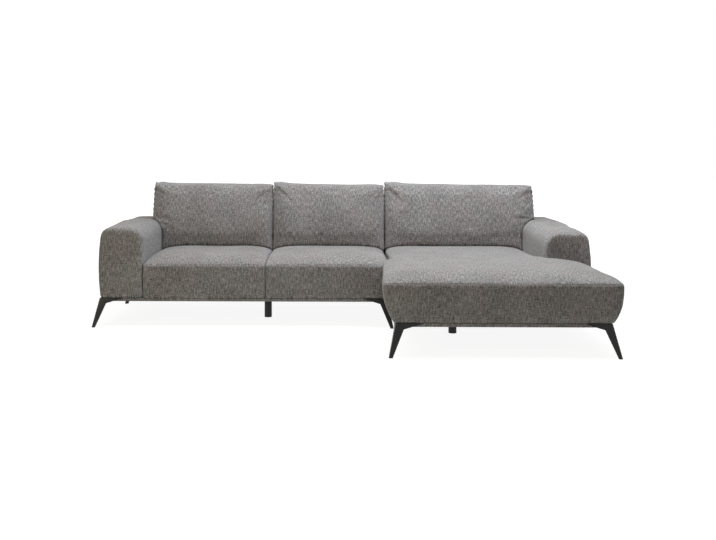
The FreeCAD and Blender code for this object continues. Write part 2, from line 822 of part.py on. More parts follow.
def make_back_cushions():
    """Three cushions that stand on the seats; the outer two also reach over their arms."""
    half_gap = at.cushion_gap / 2
    first_seam = at.seat_seam + SEAM_SHIFT
    second_seam = at.boundary + BOUNDARY_SHIFT
    spans = {
        "left": (at.arm_inner - at.left_overhang, first_seam - half_gap),
        "middle": (first_seam + half_gap, second_seam - half_gap),
        "right": (second_seam + half_gap, at.right_arm_inner + at.right_overhang),
    }
    for place, (left, right) in spans.items():
        shape = form(f"cushion_{place}_form", cushion_shape(left, right), Vector(0, at.sofa_front, 0))
        if place != "middle":
            shape = carved(f"cushion_{place}_trimmed", shape, [arm_clearance(place)])
        middle = "sofa_front + cushion_front + cushion_depth / 2 + core_setback"
        x_span = (f"{left} + core_margin", f"{right} - core_margin")
        y_span = (f"{middle} - core_depth / 2", f"{middle} + core_depth / 2")
        z_span = ("core_bottom", "core_bottom + core_height")
        filled_cover(f"back_cushion_{place}", f"back_cushion_core_{place}", shape, (x_span, y_span, z_span))


# Wing legs: a folded plate around the base's corner that narrows to a splayed foot

LEG_LEVELS = (
    ("leg_height", "wing_length"),
    ("leg_height - wing_tip", "wing_length"),
    ("knee_height", "knee_width"),
    ("0", "foot_width"),
)


@lru_cache(None)
def number(text):
    """The value of an expression, read through a spare cell."""
    places_sheet.set("D1", "=" + qualified(text, True))
    places_sheet.recompute()
    return float(places_sheet.get("D1"))


def folded_outline(height, width):
    """Corners of the folded plate at a height: an L whose outer corner moves out towards the floor."""
    outer = f"-leg_thickness - leg_splay * (leg_height - ({height})) / leg_height"
    inner = f"{outer} + leg_thickness"
    tip = f"{outer} + {width}"
    return [(outer, outer), (tip, outer), (tip, inner), (inner, inner), (inner, tip), (outer, tip)]


def origin_plane(body, role):
    return next(feature for feature in body.Origin.OriginFeatures if feature.Role == role)


def level_sketch(body, name, height, corners):
    """A closed outline parallel to the floor, each corner tied to a pair of expressions."""
    sketch = body.newObject("Sketcher::SketchObject", name)
    sketch.AttachmentSupport = [(origin_plane(body, "XY_Plane"), "")]
    sketch.MapMode = "FlatFace"
    bind(sketch, "AttachmentOffset.Base.z", height)
    count = len(corners)
    points = [Vector(number(x), number(y), 0) for x, y in corners]
    for index in range(count):
        sketch.addGeometry(Part.LineSegment(points[index], points[(index + 1) % count]), False)
    for index in range(count):
        sketch.addConstraint(Sketcher.Constraint("Coincident", index, 2, (index + 1) % count, 1))
    for index, texts in enumerate(corners):
        for kind, text, place in zip(("DistanceX", "DistanceY"), texts, points[index]):
            constraint = sketch.addConstraint(Sketcher.Constraint(kind, -1, 1, index, 1, place))
            bind(sketch, f"Constraints[{constraint}]", text)
    return sketch


def make_wing_leg(node, x, y, turn):
    """A leg at an outer corner of the strips, turned to face it."""
    body = doc.addObject("PartDesign::Body", node + "_body")
    levels = [
        level_sketch(body, f"{node}_level_{index + 1}", height, folded_outline(height, width))
        for index, (height, width) in enumerate(LEG_LEVELS)
    ]
    blade = body.newObject("PartDesign::AdditiveLoft", node + "_blade")
    blade.Profile = levels[0]
    blade.Sections = levels[1:]
    blade.Ruled = True
    plate_top = "strip_bottom"
    lip = "-leg_thickness"
    far = "plate_size"
    bevel = "plate_size / 3"
    corners = [(lip, lip), (far, lip), (far, bevel), (bevel, far), (lip, far)]
    plate_sketch = level_sketch(body, node + "_plate_outline", plate_top, corners)
    plate = body.newObject("PartDesign::Pad", node + "_plate")
    plate.Profile = plate_sketch
    plate.Reversed = True
    bind(plate, "Length", "plate_thickness")
    doc.recompute()
    holes = body.newObject("Sketcher::SketchObject", node + "_hole_outline")
    holes.AttachmentSupport = [(origin_plane(body, "XY_Plane"), "")]
    holes.MapMode = "FlatFace"
    bind(holes, "AttachmentOffset.Base.z", plate_top)
    for index, (hole_x, hole_y) in enumerate(PLATE_SCREWS):
        centre = Vector(number(hole_x), number(hole_y), 0)
        holes.addGeometry(Part.Circle(centre, Vector(0, 0, 1), at.screw_radius + at.fit_gap), False)
        for kind, text, place in (("DistanceX", hole_x, centre.x), ("DistanceY", hole_y, centre.y)):
            constraint = holes.addConstraint(Sketcher.Constraint(kind, -1, 1, index, 3, place))
            bind(holes, f"Constraints[{constraint}]", text)
        constraint = holes.addConstraint(Sketcher.Constraint("Radius", index, at.screw_radius + at.fit_gap))
        bind(holes, f"Constraints[{constraint}]", "screw_radius + fit_gap")
    drilled = body.newObject("PartDesign::Pocket", node + "_holes")
    drilled.Profile = holes
    bind(drilled, "Length", "plate_thickness")
    body.Placement = Placement(Vector(x, y, 0), Rotation(Vector(0, 0, 1), turn))
    sub_part(body, node)


# Screws of a leg's plate, from the strips' outer corner
HALF_STRIP = "strip_width / 2"
PLATE_SCREWS = (
    (HALF_STRIP, HALF_STRIP),
    (f"plate_size - {HALF_STRIP} / 2", "leg_thickness + screw_head_radius"),
    ("leg_thickness + screw_head_radius", f"plate_size - {HALF_STRIP} / 2"),
)
SUPPORT_SCREW_REACH = 31
SUPPORT_FORWARD = 52
SOFA_SUPPORT_LEFT = 8
CHAISE_SUPPORT_LEFT = 232
REAR_SUPPORT_RIGHT = 2
LINK_PLACES = (0.3, 0.72)


def screw_shape(place, under):
    """A screw from below: head, then shank up through the plate."""
    head_place = place - Vector(0, 0, at.screw_head_height + under)
    head = Part.makeCylinder(at.screw_head_radius, at.screw_head_height, head_place)
    shank = Part.makeCylinder(at.screw_radius, at.screw_length, place - Vector(0, 0, under))
    return head.fuse(shank).removeSplitter()


def make_legs():
    """Seven wing legs, three round supports, and the screws that hold them."""
    inset = at.strip_inset
    corners = {
        "leg_sofa_front_left": (at.sofa_left + inset, at.sofa_front + inset, 0),
        "leg_sofa_front_right": (at.boundary - inset, at.sofa_front + inset, 90),
        "leg_sofa_rear_right": (at.boundary - inset, at.rear - inset, 180),
        "leg_sofa_rear_left": (at.sofa_left + inset, at.rear - inset, 270),
        "leg_chaise_front_left": (at.chaise_left + inset, at.chaise_front + inset, 0),
        "leg_chaise_front_right": (at.chaise_right - inset, at.chaise_front + inset, 90),
        "leg_chaise_rear_right": (at.right_side - inset, at.rear - inset, 180),
    }
    screws = []
    for node, (x, y, turn) in corners.items():
        make_wing_leg(node, x, y, turn)
        spin = Rotation(Vector(0, 0, 1), turn)
        for hole in PLATE_SCREWS:
            local = Vector(number(hole[0]), number(hole[1]), at.strip_bottom)
            screws.append(screw_shape(Vector(x, y, 0) + spin.multVec(local), at.plate_thickness))

    middle_of_cross = at.right_arm_front - CROSS_RAIL_AHEAD
    sofa_middle = (at.sofa_front + at.rear) / 2 - SUPPORT_FORWARD
    chaise_middle = (at.boundary + at.right_side) / 2 - CHAISE_SUPPORT_LEFT
    rear_corner = at.chaise_left + inset + at.support_flange_radius + REAR_SUPPORT_RIGHT
    along = Vector(1, 0, 0)
    supports = {
        "support_sofa_middle": (at.seat_seam - SOFA_SUPPORT_LEFT, sofa_middle, at.cover_bottom, Vector(0, 1, 0)),
        "support_chaise_middle": (chaise_middle, middle_of_cross, at.cover_bottom, along),
        "support_chaise_rear": (rear_corner, at.rear - inset - at.strip_width / 2, at.strip_bottom, along),
    }
    for node, (x, y, top, rail_run) in supports.items():
        column = doc.addObject("Part::Cylinder", node + "_column")
        bind(column, "Radius", "support_radius")
        column.Height = top - at.plate_thickness
        flange = doc.addObject("Part::Cylinder", node + "_flange")
        bind(flange, "Radius", "support_flange_radius")
        bind(flange, "Height", "plate_thickness")
        flange.Placement.Base = Vector(0, 0, top - at.plate_thickness)
        drills = []
        for index, side in enumerate((-1, 1)):
            spot = rail_run * side * SUPPORT_SCREW_REACH
            drill = doc.addObject("Part::Cylinder", f"{node}_drill_{index + 1}")
            bind(drill, "Radius", "screw_radius + fit_gap")
            bind(drill, "Height", "plate_thickness + 2")
            drill.Placement.Base = spot + Vector(0, 0, top - at.plate_thickness - 1)
            drills.append(drill)
            screws.append(screw_shape(Vector(x, y, top) + spot, at.plate_thickness))
        support = carved(node + "_drilled", joined(node + "_whole", [column, flange]), drills)
        support.Placement = Placement(Vector(x, y, 0), Rotation())
        sub_part(support, node)
    return screws


def make_links(screws):
    """Two flat plates below the strips that hold the modules side by side."""
    plates = []
    left = at.boundary - at.strip_inset - at.strip_width
    right = at.chaise_left + at.strip_inset + at.strip_width
    for index, share in enumerate(LINK_PLACES):
        middle = at.sofa_front + share * at.base_depth
        plate = Part.makeBox(right - left, at.link_width, at.link_thickness,
                             Vector(left, middle - at.link_width / 2, at.strip_bottom - at.link_thickness))
        for x in (left + at.strip_width / 3, right - at.strip_width / 3):
            hole = Part.makeCylinder(at.screw_radius + at.fit_gap, at.link_thickness * 3,
                                     Vector(x, middle, at.strip_bottom - at.link_thickness * 2))
            plate = plate.cut(hole)
            screws.append(screw_shape(Vector(x, middle, at.strip_bottom), at.link_thickness))
        plates.append(plate)
    sub_part(form("link_plate_pair", Part.Compound(plates)), "module_link_plates")
    sub_part(form("screw_set", Part.Compound(screws)), "mounting_screws")


STRAP_MARGIN = 30
SOFA_STRAPS = 12
CHAISE_STRAPS = 8
sofa_straps_left = f"arm_inner + {STRAP_MARGIN}"
sofa_straps_right = f"boundary - {STRAP_MARGIN} - rail_inset"
chaise_straps_left = f"boundary + {STRAP_MARGIN}"
chaise_straps_right = f"right_arm_inner - {STRAP_MARGIN}"

make_base()
make_dust_cover("sofa_dust_cover", sofa_strips)
make_dust_cover("chaise_dust_cover", chaise_strips)
make_webbing("sofa_seat_webbing", sofa_rails, sofa_straps_left, sofa_straps_right, SOFA_STRAPS)
make_webbing("chaise_seat_webbing", chaise_rails, chaise_straps_left, chaise_straps_right, CHAISE_STRAPS)
make_sofa_seats()
make_chaise_pad()
make_chaise_borders()
make_arms()
make_back("sofa", at.arm_inner, at.boundary, 3)
make_back("chaise", at.boundary, at.right_arm_inner, 2)
make_back_cushions()
make_links(make_legs())

doc.recompute()
for item in doc.Objects:
    if "Invalid" in item.State or "Error" in item.State:
        raise RuntimeError(f"{item.Name} is {item.State}")
for item in parts:
    if item.Shape.isNull() or not item.Shape.isValid():
        raise RuntimeError(f"{item.Label} has no valid shape")

os.makedirs("parts", exist_ok=True)
for item in parts:
    item.Shape.exportStep(f"parts/{item.Label}.step")
    print(item.Label, len(item.Shape.Solids), round(item.Shape.Volume / 1e6, 3))
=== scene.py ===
import json
import math

import bpy
import numpy as np
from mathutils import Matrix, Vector

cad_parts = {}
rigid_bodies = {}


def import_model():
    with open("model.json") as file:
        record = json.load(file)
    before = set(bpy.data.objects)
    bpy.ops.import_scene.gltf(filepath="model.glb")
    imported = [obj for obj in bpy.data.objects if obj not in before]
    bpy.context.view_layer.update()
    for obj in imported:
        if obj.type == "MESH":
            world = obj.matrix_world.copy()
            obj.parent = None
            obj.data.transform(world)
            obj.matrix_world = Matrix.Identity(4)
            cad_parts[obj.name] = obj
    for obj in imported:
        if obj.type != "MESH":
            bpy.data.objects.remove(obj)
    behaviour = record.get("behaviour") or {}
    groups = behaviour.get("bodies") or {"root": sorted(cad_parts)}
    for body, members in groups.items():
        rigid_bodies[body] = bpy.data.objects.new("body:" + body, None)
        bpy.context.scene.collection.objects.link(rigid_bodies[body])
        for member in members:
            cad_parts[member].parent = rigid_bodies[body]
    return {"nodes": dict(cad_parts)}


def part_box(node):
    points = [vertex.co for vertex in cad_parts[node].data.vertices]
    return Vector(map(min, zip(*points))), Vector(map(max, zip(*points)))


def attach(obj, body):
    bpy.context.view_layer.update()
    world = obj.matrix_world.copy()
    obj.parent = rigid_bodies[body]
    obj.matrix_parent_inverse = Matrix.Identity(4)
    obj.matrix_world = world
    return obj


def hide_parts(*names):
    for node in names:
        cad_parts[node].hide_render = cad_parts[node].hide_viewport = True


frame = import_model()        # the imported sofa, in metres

nodes = frame["nodes"]
scene = bpy.context.scene
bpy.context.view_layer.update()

# The left seat's front panel, and the height of the crease above it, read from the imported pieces
LEFT_SEAT_LOW, LEFT_SEAT_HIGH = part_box("seat_border_left")
CREASE = LEFT_SEAT_HIGH.z
# The back cushions, from left to right
CUSHIONS = ("left", "middle", "right")


# Camera, floor and light

# Where the camera stands, in metres, and how far it is turned, in radians
CAMERA_PLACE, CAMERA_TURN = (-0.0442, -5.2325, 1.0044), 0.02
# Its sensor and lens, in millimetres, and how far the frame is shifted, as a share of its width
SENSOR, LENS = 36, 44.2
SHIFT_X, SHIFT_Y = 0.0573, -0.1574


def place_camera():
    """The photograph's view: low and almost straight on, with the sofa in the middle of the frame."""
    lens = bpy.data.cameras.new("photo_view")
    lens.sensor_width = SENSOR
    lens.lens = LENS
    lens.shift_x = SHIFT_X
    lens.shift_y = SHIFT_Y
    camera = bpy.data.objects.new("photo_view", lens)
    camera.location = CAMERA_PLACE
    camera.rotation_euler = (math.pi / 2, 0, CAMERA_TURN)
    scene.collection.objects.link(camera)
    scene.camera = camera


def softbox(name, place, aim, size, power, colour):
    """A large rectangular lamp that looks at a point."""
    lamp = bpy.data.lights.new(name, "AREA")
    lamp.shape = "RECTANGLE"
    lamp.size, lamp.size_y = size
    lamp.energy = power
    lamp.color = colour
    item = bpy.data.objects.new(name, lamp)
    item.location = place
    item.rotation_euler = (Vector(aim) - Vector(place)).to_track_quat("-Z", "Y").to_euler()
    scene.collection.objects.link(item)


# Light colours, then the surround's colour and strength
COOL, WARM = (0.95, 1.01, 1.06), (1.0, 0.85, 0.48)
SURROUND_COLOUR, SURROUND_STRENGTH = (1, 0.9, 0.70, 1), 0.19
# Each lamp's place, the point that it looks at, its width and depth, its watts and its colour
LAMPS = {
    "ceiling": ((0.0, 0.1, 3.4), (0.0, 0.1, 0.0), (4.6, 3.0), 30, COOL),
    "over_the_seats": ((0.0, -0.1, 2.3), (0.0, -0.1, 0.0), (4.6, 0.6), 45, COOL),
    "over_the_chaise": ((0.9, -0.5, 2.6), (0.9, -0.5, 0.0), (1.4, 1.0), 40, COOL),
    "left_front": ((-3.2, -3.6, 2.2), (0.0, 0.0, 0.4), (2.2, 1.6), 38, WARM),
}


def light_studio():
    """Broad cool lamps above, a warm one at the left front, and an even warm surround seen as white."""
    scene.view_settings.view_transform = "Standard"
    for name, (place, aim, size, power, colour) in LAMPS.items():
        softbox(name, place, aim, size, power, colour)
    world = bpy.data.worlds.new("studio")
    world.use_nodes = True
    scene.world = world
    tree = world.node_tree
    surround = tree.nodes["Background"]
    surround.inputs["Color"].default_value = SURROUND_COLOUR
    surround.inputs["Strength"].default_value = SURROUND_STRENGTH
    backdrop = tree.nodes.new("ShaderNodeBackground")
    backdrop.inputs["Color"].default_value = (1, 1, 1, 1)
    backdrop.inputs["Strength"].default_value = 1
    path = tree.nodes.new("ShaderNodeLightPath")
    seen = tree.nodes.new("ShaderNodeMath")
    seen.operation = "MAXIMUM"
    mirrored = tree.nodes.new("ShaderNodeMath")
    mirrored.operation = "MAXIMUM"
    tree.links.new(path.outputs["Is Glossy Ray"], mirrored.inputs[0])
    tree.links.new(path.outputs["Is Transmission Ray"], mirrored.inputs[1])
    tree.links.new(path.outputs["Is Camera Ray"], seen.inputs[0])
    tree.links.new(mirrored.outputs[0], seen.inputs[1])
    choice = tree.nodes.new("ShaderNodeMixShader")
    tree.links.new(seen.outputs[0], choice.inputs[0])
    tree.links.new(surround.outputs[0], choice.inputs[1])
    tree.links.new(backdrop.outputs[0], choice.inputs[2])
    tree.links.new(choice.outputs[0], tree.nodes["World Output"].inputs["Surface"])


# Finishes

class Level:
    """A number that changes over a surface, for use in expressions."""

    def __init__(self, finish, socket):
        self.finish = finish
        self.socket = socket

    def __add__(self, other):
        return self.finish.sum_of("ADD", self, other)

    def __sub__(self, other):
        return self.finish.sum_of("SUBTRACT", self, other)

    def __rsub__(self, other):
        return self.finish.sum_of("SUBTRACT", other, self)

    def __mul__(self, other):
        return self.finish.sum_of("MULTIPLY", self, other)

    def __abs__(self):
        return self.finish.sum_of("ABSOLUTE", self, 0)


class Finish:
    """A material and the nodes that make it."""

    def __init__(self, name, **constants):
        self.material = bpy.data.materials.new(name)
        self.material.use_nodes = True
        self.tree = self.material.node_tree
        self.shader = self.tree.nodes["Principled BSDF"]
        for words, value in constants.items():
            self.shader.inputs[words.replace("_", " ").title().replace("Ior", "IOR")].default_value = value

    def node(self, kind, settings=None, values=None, output=0):
        """A node of a type, its settings first, then the values or links of its sockets."""
        item = self.tree.nodes.new("ShaderNode" + kind)
        for word, setting in (settings or {}).items():
            if word == "stops":
                ramp = item.color_ramp.elements
                while len(ramp) < len(setting):
                    ramp.new(0.5)
                for element, (place, colour) in zip(ramp, setting):
                    element.position = place
                    element.color = (*colour, 1)
            else:
                setattr(item, word, setting)
        for word, value in (values or {}).items():
            if isinstance(value, Level):
                self.tree.links.new(value.socket, item.inputs[word])
            else:
                item.inputs[word].default_value = value
        return Level(self, item.outputs[output])

    def sum_of(self, operation, first, second):
        return self.node("Math", {"operation": operation}, {0: first, 1: second})

    def feed(self, word, level):
        self.tree.links.new(level.socket, self.shader.inputs[word])

    def axes(self):
        """The place on the object, in metres, as three numbers and as a vector."""
        place = self.node("TexCoord", output="Object")
        apart = [self.node("SeparateXYZ", values={0: place}, output=index) for index in range(3)]
        return (*apart, place)

    def at(self, x, y, z):
        return self.node("CombineXYZ", values={0: x, 1: y, 2: z})

    def noise(self, place, detail=2.0, roughness=0.5):
        """Smooth chance, from about 0.2 to 0.8, one blob to each unit of the place."""
        values = {"Vector": place, "Scale": 1.0, "Detail": detail, "Roughness": roughness}
        return self.node("TexNoise", values=values)

    def between(self, level, low, high):
        """0 below low, 1 above high, and smooth between them."""
        values = {"Value": level, "From Min": low, "From Max": high}
        return self.node("MapRange", {"interpolation_type": "SMOOTHSTEP"}, values)

    def mixed(self, share, first, second, blend="MIX"):
        """Two colours mixed by a share."""
        settings = {"data_type": "RGBA", "blend_type": blend}
        return self.node("Mix", settings, {0: share, 6: first, 7: second}, output=2)

    def ramp(self, level, *stops):
        return self.node("ValToRGB", {"stops": stops}, {0: level})

    def bump(self, height, distance, strength=1.0):
        values = {"Height": height, "Distance": distance, "Strength": strength}
        self.feed("Normal", self.node("Bump", values=values))


# Spacing of the yarns, and how far from a seam its groove and painted shade start and end to fade, in
# metres
WARP_PITCH, WEFT_PITCH = 0.0046, 0.0038
SEAM_GROOVE_AND_SHADE_REACH = (0.0005, 0.0022)


def weave_finish(name, seam_grooves_and_shade=True):
    """Grey melange weave: uneven yarns that run up the fronts and back over the tops, with flecks; unless
    turned off, a groove and painted shade along each seam.
    """
    cloth = Finish(name, roughness=0.92, sheen_weight=0.22, sheen_roughness=0.55, specular_ior_level=0.2)
    x, y, z, place = cloth.axes()
    facing = cloth.node("NewGeometry", output="Normal")
    sideways = cloth.between(abs(cloth.node("SeparateXYZ", values={0: facing})), 0.62, 0.8)
    across = x + sideways * (y - x)
    along = z + (1 - sideways) * y
    drift = (cloth.noise(place, 1) - 0.5) * 0.004
    across = across + drift

    # Each pattern's scale is how many there are to the metre, across and along
    slubs = cloth.noise(cloth.at(across * 165, along * 32, 0.0), 1)
    rows = cloth.noise(cloth.at(across * 40, along * 150, 5.0), 1)
    flecks = cloth.noise(cloth.at(across * 190, along * 150, 7.0), 2, 0.65)
    patches = cloth.noise(cloth.at(across * 6, along * 5, 11.0), 2)
    tone = slubs * 0.5 + rows * 0.22 + flecks * 0.66 + patches * 0.14 - 0.26
    colour = cloth.ramp(
        tone,
        (0.30, (0.055, 0.055, 0.055)),
        (0.46, (0.172, 0.172, 0.172)),
        (0.56, (0.252, 0.252, 0.252)),
        (0.74, (0.49, 0.49, 0.49)),
    )
    hue = cloth.between(cloth.noise(cloth.at(across * 7, along * 6, 17.0), 1), 0.38, 0.62)
    tint = cloth.mixed(hue, (1.0, 0.91, 0.915, 1), (0.975, 0.945, 0.94, 1))
    colour = cloth.mixed(1.0, colour, tint, "MULTIPLY")

    warp = cloth.sum_of("SINE", across * (2 * math.pi / WARP_PITCH), 0)
    weft = cloth.sum_of("SINE", along * (2 * math.pi / WEFT_PITCH), 0)
    height = warp * weft * 0.2 + slubs * 0.7 + rows * 0.4 + flecks * 1.1
    if seam_grooves_and_shade:
        line = abs(cloth.node("Attribute", {"attribute_name": "seam"}, output="Fac"))
        groove_and_shade = 1 - cloth.between(line, *SEAM_GROOVE_AND_SHADE_REACH)
        # Painted shade: along each seam the colour darkens towards a dark brown, standing in for the shade
        # in its groove; the bump below draws the groove itself
        colour = cloth.mixed(groove_and_shade * 0.35, colour, (0.045, 0.041, 0.037, 1))
        height = height - groove_and_shade * 1.2
    cloth.feed("Base Color", colour)
    cloth.bump(height, 0.0011)
    return cloth.material


def wing_metal_finish():
    """Black powder coat on folded steel, with faint cloudy changes in its tone and gloss and a fine grain.
    """
    coat = Finish("black_powder_coat", metallic=0.0, roughness=0.42, specular_ior_level=0.3)
    x, y, z, _ = coat.axes()
    grain = coat.noise(coat.at(x * 900, y * 900, z * 900), 2)
    cloudy = coat.noise(coat.at(x * 14, y * 14, z * 9), 3)
    coat.feed("Base Color", coat.ramp(cloudy, (0.3, (0.005, 0.005, 0.005)), (0.7, (0.010, 0.010, 0.010))))
    coat.feed("Roughness", cloudy * 0.25 + 0.33)
    coat.bump(grain, 0.00025)
    return coat.material


def plastic_finish():
    """Matte black moulded plastic with a fine grain and faint turning lines."""
    plastic = Finish("black_moulded_plastic", roughness=0.6)
    x, y, z, place = plastic.axes()
    grain = plastic.node("TexVoronoi", {"feature": "F1"}, {"Vector": place, "Scale": 700.0})
    rings = plastic.sum_of("SINE", z * 900, 0)
    shade = plastic.noise(plastic.at(x * 20, y * 20, z * 20), 2)
    colour = plastic.ramp(shade, (0.3, (0.012, 0.012, 0.012)), (0.7, (0.020, 0.020, 0.020)))
    plastic.feed("Base Color", colour)
    plastic.feed("Roughness", shade * 0.3 + 0.45)
    plastic.bump(grain * 0.6 + rings * 0.15, 0.0003)
    return plastic.material


def timber_finish():
    """Planed softwood: long grain along the piece, growth rings and a few knots."""
    timber = Finish("planed_timber", roughness=0.7)
    x, y, z, _ = timber.axes()
    sway = timber.noise(timber.at(x * 2.2, y * 2.2, z * 9), 2)
    rings = timber.sum_of("SINE", (z + sway * 0.05 + (x + y) * 0.01) * 620, 0)
    fibres = timber.noise(timber.at(x * 16, y * 16, z * 420), 3)
    spread = timber.at(x * 2.6, y * 2.6, z * 9)
    knots = timber.node("TexVoronoi", {"feature": "F1"}, {"Vector": spread, "Scale": 1.0})
    knot = 1 - timber.between(knots, 0.03, 0.10)
    colour = timber.ramp(rings * 0.22 + fibres * 0.7, (0.1, (0.40, 0.26, 0.13)), (0.6, (0.60, 0.43, 0.25)))
    timber.feed("Base Color", timber.mixed(knot * 0.8, colour, (0.16, 0.08, 0.035, 1)))
    timber.feed("Roughness", fibres * 0.3 + 0.5)
    timber.bump(fibres + rings * 0.15, 0.0005)
    return timber.material


def foam_finish():
    """Open-celled pale foam."""
    foam = Finish("pale_foam", roughness=0.95)
    x, y, z, place = foam.axes()
    cells = foam.node("TexVoronoi", {"feature": "F1"}, {"Vector": place, "Scale": 420.0})
    aged = foam.noise(foam.at(x * 7, y * 7, z * 7), 3)
    colour = foam.ramp(aged, (0.3, (0.62, 0.55, 0.36)), (0.7, (0.74, 0.69, 0.52)))
    foam.feed("Base Color", foam.mixed(foam.between(cells, 0.1, 0.5) * 0.35, (0.36, 0.30, 0.17, 1), colour))
    foam.bump(cells, 0.0012)
    return foam.material


def filling_finish():
    """White non-woven case around loose filling."""
    case = Finish("filling_case", roughness=0.9, sheen_weight=0.2)
    x, y, z, place = case.axes()
    fibre = case.noise(case.at(x * 300, y * 300, z * 300), 4, 0.7)
    dots = case.node("TexVoronoi", {"feature": "F1"}, {"Vector": place, "Scale": 380.0})
    case.feed("Base Color", case.ramp(fibre, (0.3, (0.60, 0.60, 0.58)), (0.7, (0.80, 0.80, 0.78))))
    case.bump(fibre + dots * 0.6, 0.0008)
    return case.material


def strap_finish():
    """Elastic webbing: a plain weave with darker stripes along each edge."""
    strap = Finish("elastic_webbing", roughness=0.85, sheen_weight=0.1)
    x, y, z, _ = strap.axes()
    across = strap.sum_of("SINE", x * (2 * math.pi / 0.004), 0)
    along = strap.sum_of("SINE", y * (2 * math.pi / 0.003), 0)
    stripe = strap.between(strap.sum_of("SINE", x * (2 * math.pi / 0.025), 0), 0.55, 0.8)
    wear = strap.noise(strap.at(x * 60, y * 12, z * 60), 3)
    colour = strap.ramp(wear, (0.3, (0.26, 0.25, 0.22)), (0.7, (0.36, 0.35, 0.31)))
    strap.feed("Base Color", strap.mixed(stripe, colour, (0.055, 0.05, 0.045, 1)))
    strap.bump(across * along, 0.0006)
    return strap.material


def dust_cloth_finish():
    """Thin black non-woven cloth with a pressed dot pattern."""
    cloth = Finish("black_dust_cloth", roughness=0.95, sheen_weight=0.15)
    x, y, z, _ = cloth.axes()
    fibre = cloth.noise(cloth.at(x * 240, y * 240, z * 240), 4, 0.7)
    dots = cloth.sum_of("SINE", x * 1800, 0) * cloth.sum_of("SINE", y * 1800, 0)
    slack = cloth.noise(cloth.at(x * 6, y * 6, z * 6), 2)
    cloth.feed("Base Color", cloth.ramp(fibre, (0.3, (0.011, 0.011, 0.012)), (0.7, (0.030, 0.030, 0.031))))
    cloth.bump(fibre + dots * 0.4 + slack * 6, 0.0012)
    return cloth.material


def steel_finish(name, light):
    """Zinc-plated steel with fine brushing."""
    steel = Finish(name, metallic=1.0, roughness=0.35)
    x, y, z, _ = steel.axes()
    brushed = steel.noise(steel.at(x * 1500, y * 90, z * 1500), 3)
    spangle = steel.noise(steel.at(x * 120, y * 120, z * 120), 2)
    dark = (0.7 * light, 0.7 * light, 0.7 * light)
    pale = (light, light, light * 0.97)
    steel.feed("Base Color", steel.ramp(spangle, (0.3, dark), (0.7, pale)))
    steel.feed("Roughness", brushed * 0.4 + 0.2)
    steel.bump(brushed, 0.0002)
    return steel.material


# How bright the floor's white is, and its share in what is seen near the sofa
FLOOR_WHITE, NEAR_SHARE = 1.27, 0.72
# How far from the middle that share starts to rise, and where it is all, in metres
SHADOW_ENDS = (1.9, 3.6)


def floor_finish():
    """Pale floor that the camera sees as white but for the sofa's shadow."""
    paint = Finish("studio_floor", roughness=0.9, specular_ior_level=0.0)
    x, y, z, place = paint.axes()
    faint = paint.noise(paint.at(x * 1.2, y * 1.2, z), 2)
    paint.feed("Base Color", paint.ramp(faint, (0.2, (0.62, 0.62, 0.615)), (0.8, (0.66, 0.66, 0.655))))
    glow = paint.node("Emission", values={"Color": (1, 1, 1, 1), "Strength": FLOOR_WHITE})
    rays = ("Is Camera Ray", "Is Glossy Ray", "Is Transmission Ray")
    path = [paint.node("LightPath", output=word) for word in rays]
    seen = paint.sum_of("MAXIMUM", path[0], paint.sum_of("MAXIMUM", path[1], path[2]))
    away = paint.node("VectorMath", {"operation": "LENGTH"}, {0: place}, output=1)
    glowing = paint.between(away, *SHADOW_ENDS) * (1 - NEAR_SHARE) + NEAR_SHARE
    mix = paint.tree.nodes.new("ShaderNodeMixShader")
    paint.tree.links.new((seen * glowing).socket, mix.inputs[0])
    paint.tree.links.new(paint.shader.outputs[0], mix.inputs[1])
    paint.tree.links.new(glow.socket, mix.inputs[2])
    paint.tree.links.new(mix.outputs[0], paint.tree.nodes["Material Output"].inputs["Surface"])
    return paint.material


# Shaping

# How far each rounding moves a point towards the middle of its neighbours
ROUNDING = 0.5


def pick(*objects):
    """Only these are selected, the first one active."""
    bpy.ops.object.select_all(action="DESELECT")
    for item in objects:
        item.select_set(True)
    bpy.context.view_layer.objects.active = objects[0]


def points(piece):
    co = np.empty(len(piece.data.vertices) * 3)
    piece.data.vertices.foreach_get("co", co)
    return co.reshape(-1, 3)


def normals(piece):
    directions = np.empty(len(piece.data.vertices) * 3, np.float32)
    piece.data.vertex_normals.foreach_get("vector", directions)
    return directions.reshape(-1, 3).astype(float)


def set_points(piece, co):
    piece.data.vertices.foreach_set("co", np.ascontiguousarray(co).ravel())
    piece.data.update()


def finish_modifier(piece, kind, **settings):
    """A modifier that is set and applied at once."""
    pick(piece)
    modifier = piece.modifiers.new("step", kind)
    for word, value in settings.items():
        setattr(modifier, word, value)
    bpy.ops.object.modifier_apply(modifier=modifier.name)


def start_from(name, node_names, spread=0.0006):
    """A new piece from the merged shapes of some nodes, each spread a little so that they overlap."""
    copies = []
    for node in node_names:
        copy = bpy.data.objects.new(name, nodes[node].data.copy())
        scene.collection.objects.link(copy)
        copy.data.materials.clear()
        pick(copy)
        bpy.ops.object.mode_set(mode="EDIT")
        bpy.ops.mesh.select_all(action="SELECT")
        bpy.ops.mesh.remove_doubles(threshold=0.00001)
        bpy.ops.object.mode_set(mode="OBJECT")
        set_points(copy, points(copy) + normals(copy) * spread)
        copies.append(copy)
    pick(*copies)
    if len(copies) > 1:
        bpy.ops.object.join()
    piece = bpy.context.object
    piece.name = name
    return piece


def wrapped(piece):
    """The piece's tight outer skin, without its rooms and pockets."""
    pick(piece)
    bpy.ops.object.mode_set(mode="EDIT")
    bpy.ops.mesh.select_all(action="SELECT")
    bpy.ops.mesh.convex_hull()
    bpy.ops.object.mode_set(mode="OBJECT")


